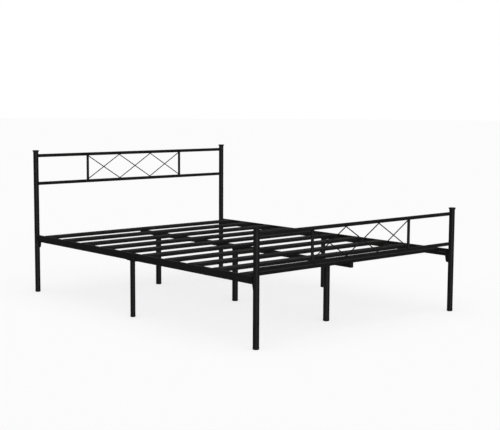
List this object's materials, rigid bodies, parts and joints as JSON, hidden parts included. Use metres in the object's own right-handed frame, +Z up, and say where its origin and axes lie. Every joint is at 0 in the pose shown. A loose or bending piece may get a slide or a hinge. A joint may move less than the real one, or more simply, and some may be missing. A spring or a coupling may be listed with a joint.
{
  "type": "metal bed frame",
  "caption": "Black metal bed frame with a low foot panel, a taller head panel, crossed wire lattices, side rails, a centre rail on legs and steel slats.",
  "frame": {"origin": "on the floor, under the middle of the bed", "axes": "+X across the bed to the right as seen from its foot, +Y along the bed towards the head, +Z up"},
  "size_m": [1.5396, 2.1056, 0.89],
  "materials": {
    "frame_steel": "satin",
    "black_plastic": "matte",
    "fasteners": "satin"
  },
  "bodies": {
    "root": {"centre_leg_foot": "frame_steel", "centre_leg_foot_glide": "black_plastic", "centre_leg_head": "frame_steel", "centre_leg_head_glide": "black_plastic", "centre_leg_middle": "frame_steel", "centre_leg_middle_glide": "black_plastic", "centre_rail_foot": "frame_steel", "centre_rail_foot_cap": "black_plastic", "centre_rail_head": "frame_steel", "centre_rail_head_cap": "black_plastic", "centre_rail_sleeve": "frame_steel", "foot_bracket_left": "frame_steel", "foot_bracket_right": "frame_steel", "foot_lattice_wire_back": "frame_steel", "foot_lattice_wire_front": "frame_steel", "foot_lower_rail": "frame_steel", "foot_post_left": "frame_steel", "foot_post_left_cap": "black_plastic", "foot_post_left_glide": "black_plastic", "foot_post_right": "frame_steel", "foot_post_right_cap": "black_plastic", "foot_post_right_glide": "black_plastic", "foot_top_rail": "frame_steel", "foot_upright_left": "frame_steel", "foot_upright_right": "frame_steel", "head_bracket_left": "frame_steel", "head_bracket_right": "frame_steel", "head_lattice_wire_back": "frame_steel", "head_lattice_wire_front": "frame_steel", "head_lower_rail": "frame_steel", "head_post_left": "frame_steel", "head_post_left_cap": "black_plastic", "head_post_left_glide": "black_plastic", "head_post_right": "frame_steel", "head_post_right_cap": "black_plastic", "head_post_right_glide": "black_plastic", "head_top_rail": "frame_steel", "head_upright_left": "frame_steel", "head_upright_right": "frame_steel", "side_leg_left": "frame_steel", "side_leg_left_glide": "black_plastic", "side_leg_right": "frame_steel", "side_leg_right_glide": "black_plastic", "side_rail_left_foot": "frame_steel", "side_rail_left_head": "frame_steel", "side_rail_right_foot": "frame_steel", "side_rail_right_head": "frame_steel", "side_rail_sleeve_left": "frame_steel", "side_rail_sleeve_right": "frame_steel", "slat_01": "frame_steel", "slat_02": "frame_steel", "slat_03": "frame_steel", "slat_04": "frame_steel", "slat_05": "frame_steel", "slat_06": "frame_steel", "slat_07": "frame_steel", "slat_08": "frame_steel", "slat_09": "frame_steel", "slat_10": "frame_steel"}
  },
  "joints": []
}
